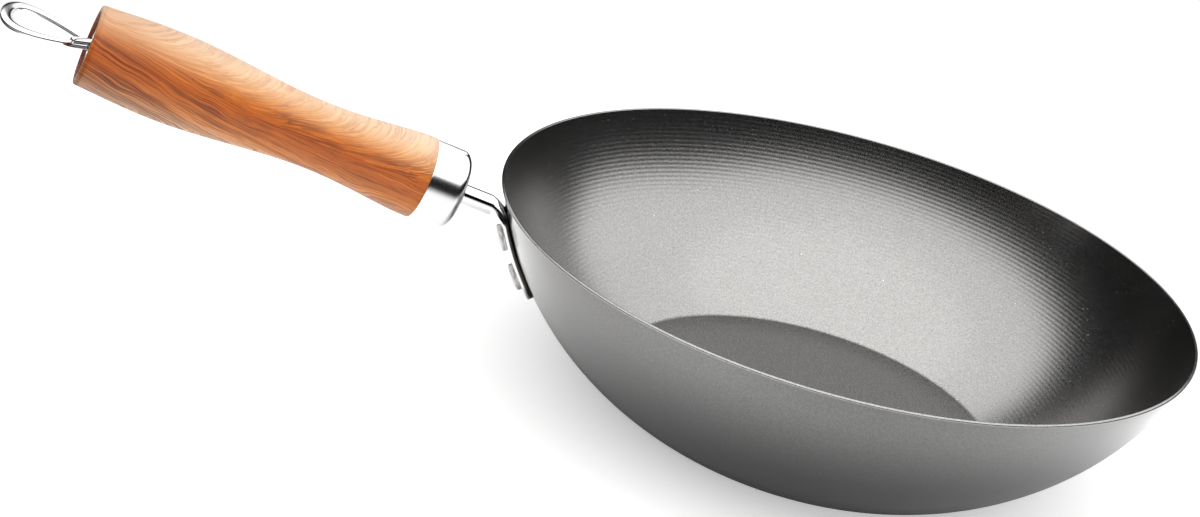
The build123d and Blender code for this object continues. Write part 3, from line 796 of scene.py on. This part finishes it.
def makeRivets(r):
    centre = wallCentre(bowl)
    values = {"Segments": r["segments"], "Count": r["count"], "First height": r["first"], "Step": r["step"],
              "Arc radius": bowl["wallArc"], "Arc centre": (-centre[0], 0.0, centre[1]), "Finish": rivetFinish(r)}
    piece = applyTree("setRivets", outlineMesh("setRivets", rivetOutline(r)), rivetTree(), values)
    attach(piece, "wok")
    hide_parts("bracket_rivets")
    print("wok: rivets set,", len(piece.data.polygons), "faces")


makeRivets(rivets)


# the hanging loop, one wire flattened where it turns back, with its end lapped over the neck
loop = {"reach": 0.0355, "legPull": 0.018, "tipPull": 0.0155, "roll": -8.0, "wire": 0.0028, "tipWidth": 0.0052,
        "tipThick": 0.0026, "tipSquare": 2.8, "spacing": 0.0025, "legAngle": 28.0, "mouth": 0.0018, "steps": 64,
        "around": 32, "tailLength": 0.009, "tailWire": 0.0029, "tailAngle": 29.0, "tailLift": 0.0018,
        "tailDome": 0.6, "tailFlat": 0.25, "domeTurn": 88, "tailSteps": 12, "domeSteps": 9}


def makeLoop(o):
    turn = Matrix.Rotation(math.radians(o["roll"]), 4, "X")
    place = handlePlace @ Matrix.Translation((capFace, 0, 0)) @ turn
    lean = math.radians(o["legAngle"])

    def sideLine(side):
        neck, tip = (0.0, side * o["spacing"] / 2, 0.0), (o["reach"] - o["tipWidth"] / 2, 0.0, 0.0)
        return [neck, (neck[0] + math.cos(lean) * o["legPull"], neck[1] + side * math.sin(lean) * o["legPull"], 0.0),
                (tip[0], side * o["tipPull"], 0.0), tip]

    def ring(point, way, wide, thick, flat=0.0):
        across = np.cross((0.0, 0.0, 1.0), way)
        section = sectionPoints(wide / 2, thick / 2, 2.0 + (o["tipSquare"] - 2.0) * flat, o["around"])
        return point + section[:, :1] * across + section[:, 1:] * np.array([0.0, 0.0, 1.0])

    legEnd = lambda side: ring(np.array([-o["mouth"], side * o["spacing"] / 2, 0.0]),
                               np.array([-side, 0.0, 0.0]), o["wire"], o["wire"])
    rings = [legEnd(-1.0)]
    for side, shares in ((-1, np.linspace(0, 1, o["steps"])), (1, np.linspace(1, 0, o["steps"])[1:])):
        for share in shares:
            point, way = bezier(sideLine(side), share)
            flat = math.sin(math.pi / 2 * share) ** 2
            rings.append(ring(point, way * -side, o["wire"] + (o["tipWidth"] - o["wire"]) * flat,
                              o["wire"] + (o["tipThick"] - o["wire"]) * flat, flat))
    rings.append(legEnd(1.0))
    wire = ringMesh("bentWire", rings, chrome, place)

    lean = math.radians(o["tailAngle"])
    way = np.array([math.cos(lean), math.sin(lean), 0.0])
    start, length, width = np.array([-o["mouth"], 0.0, o["tailLift"]]), o["tailLength"] + o["mouth"], o["tailWire"]
    dome = width / 2 * o["tailDome"]
    rings = [ring(start + way * at, way, width, width) for at in np.linspace(0, length - dome, o["tailSteps"])]
    for angle in np.radians(np.linspace(0, o["domeTurn"], o["domeSteps"])[1:]):
        size = width * (o["tailFlat"] + (1 - o["tailFlat"]) * math.cos(angle))
        rings.append(ring(start + way * (length - dome * (1 - math.sin(angle))), way, size, size))
    tail = ringMesh("lappedWireEnd", rings, chrome, place)
    for piece in (wire, tail):
        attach(piece, "loop")
        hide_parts("hanging_loop")
    print("wok: hanging loop bent")


makeLoop(loop)

for node in ("stem_washer", "tie_rod", "rod_bush"):
    frame["nodes"][node].data.materials.clear()
    frame["nodes"][node].data.materials.append(plainSteel)


# studio: a floor with a painted pool of light round the wok and a painted shadow near the base and in front that
# only metal sees, a tent of light that starts above the horizon, a softbox overhead, a fill in front, and two cards
# behind the handle
studio = {"floorReach": 4.0, "floorColour": 0.80, "floorGlow": 0.42, "sheetCentre": (-0.08, 0.0),
          "sheetReach": 0.27, "sheetStretch": 1.7, "sheetFade": 0.10, "farColour": 0.05,
          "darkCentre": 0.012, "darkWithin": 0.110, "paleFrom": 0.198, "paintedShadowColour": 0.45, "mirrorGlow": 0.38,
          "frontFrom": 0.14, "frontTo": 0.24, "frontShade": 0.55,
          "cards": {"reflectorCard": ((-0.45, -0.20), 0.10, (0.0, 0.174), 1.0),
                    "ferruleCard": ((-0.215, -0.146), 0.05, (0.101, 0.142), 1.35)},
          "room": 0.0, "tent": 1.75, "tentLow": 28.0, "tentHigh": 35.0, "rightWay": 75.0, "rightLower": 15.0,
          "backHigher": 5.0, "sidePower": 4, "aim": (-0.1, 0, 0.05), "lampHeight": 1.6, "lampWidth": 2.1,
          "lampLevel": 0.3, "fillFrom": (-0.45, -1.5, 0.20), "fillWidth": 1.6, "fillLevel": 2.4}


def makeFloor(s):
    mesh = bpy.data.meshes.new("floor")
    reach = s["floorReach"]
    corners = [(-reach, -reach, 0), (reach, -reach, 0), (reach, reach, 0), (-reach, reach, 0)]
    mesh.from_pydata(corners, [], [(0, 1, 2, 3)])
    floor = bpy.data.objects.new("floor", mesh)
    bpy.context.collection.objects.link(floor)
    material, n, wire = newFinish("paperFloor")
    seen = n.add("ShaderNodeLightPath", None, None, "Is Camera Ray")
    x, y, _ = n.split(n.here())
    across, deep = x - s["sheetCentre"][0], (y - s["sheetCentre"][1]) / s["sheetStretch"]
    apart = n.math("SQRT", across * across + deep * deep)
    # painted pool of light: the floor is pale near the wok and fades to dark farther off, except to the camera
    far = n.soft(apart, s["sheetReach"], s["sheetReach"] + s["sheetFade"])
    glossy = n.add("ShaderNodeLightPath", None, None, "Is Glossy Ray")   # painted shadow, seen only by metal: the floor is dark round the base and in front
    aside = x - s["darkCentre"]
    front = n.soft(0.0 - y, s["frontFrom"], s["frontTo"]) * s["frontShade"]
    clear = n.soft(n.math("SQRT", aside * aside + y * y), s["darkWithin"], s["paleFrom"]) * (1.0 - front)
    pale = s["floorColour"] + far * (s["farColour"] - s["floorColour"])
    pale = pale - glossy * (1.0 - clear) * (pale - s["paintedShadowColour"])
    glow = seen * (s["floorGlow"] + far * (1.0 - s["floorGlow"])) + glossy * clear * (1.0 - far) * s["mirrorGlow"]
    wire(Base_Color=n.combine(pale, pale, pale), Roughness=1.0, Specular_IOR_Level=0.0,
         Emission_Color=n.combine(glow, glow, glow), Emission_Strength=1.0)
    mesh.materials.append(material)


def makeWorld(s):
    world = bpy.data.worlds.new("studioRoom")
    world.use_nodes = True
    bpy.context.scene.world = world
    n = Nodes(world.node_tree)
    camera = n.add("ShaderNodeLightPath", None, None, "Is Camera Ray")
    x, y, z = n.split(n.add("ShaderNodeTexCoord", None, None, 0))   # the way that a ray looks
    level = n.math("SQRT", x * x + y * y) + 0.000001   # never quite nothing, straight up too
    way = math.radians(s["rightWay"])
    right = n.math("MAXIMUM", (x * math.sin(way) + y * math.cos(way)) / level, 0.0) ** s["sidePower"]
    behind = n.math("MAXIMUM", y / level, 0.0) ** s["sidePower"]   # the tent starts lower at right, higher behind
    lift = n.math("ARCSINE", z) * (180 / math.pi) + right * s["rightLower"] - behind * s["backHigher"]
    room = s["room"] + n.soft(lift, s["tentLow"], s["tentHigh"]) * (s["tent"] - s["room"])
    back = world.node_tree.nodes["Background"]
    world.node_tree.links.new((room + camera * (1.0 - room)).socket, back.inputs["Strength"])
    back.inputs["Color"].default_value = (1, 1, 1, 1)


def makeCard(s, name):   # a white card behind the handle, which only metal sees
    (left, right), deep, (low, high), level = s["cards"][name]
    mesh = bpy.data.meshes.new(name)
    corners = [(left, deep, low), (right, deep, low), (right, deep, high), (left, deep, high)]
    mesh.from_pydata(corners, [], [(0, 1, 2, 3)])
    card = bpy.data.objects.new(name, mesh)
    bpy.context.collection.objects.link(card)
    material, n, wire = newFinish(name + "White")
    wire(Base_Color=(0, 0, 0, 1), Roughness=1.0, Specular_IOR_Level=0.0, Emission_Color=(1, 1, 1, 1),
         Emission_Strength=level)
    mesh.materials.append(material)
    card.visible_camera = card.visible_diffuse = card.visible_shadow = False


def makeLamp(name, width, level, place, aim):   # the level is the brightness of the lamp's own face
    data = bpy.data.lights.new(name, "AREA")
    data.shape, data.size = "DISK", width
    data.energy = level * math.pi * math.pi * (width / 2) ** 2
    lamp = bpy.data.objects.new(name, data)
    stand = (Vector(aim) - Vector(place)).to_track_quat("-Z", "Y").to_matrix().to_4x4()
    stand.translation = place
    lamp.matrix_world = stand
    bpy.context.collection.objects.link(lamp)
    return lamp


makeFloor(studio)
for cardName in studio["cards"]:
    makeCard(studio, cardName)
makeWorld(studio)
makeLamp("overheadSoftbox", studio["lampWidth"], studio["lampLevel"], (0, 0, studio["lampHeight"]), studio["aim"])
fill = makeLamp("frontFill", studio["fillWidth"], studio["fillLevel"], studio["fillFrom"], studio["aim"])
fill.visible_glossy = False   # it lights the wood and paper only
print("wok: studio ready")
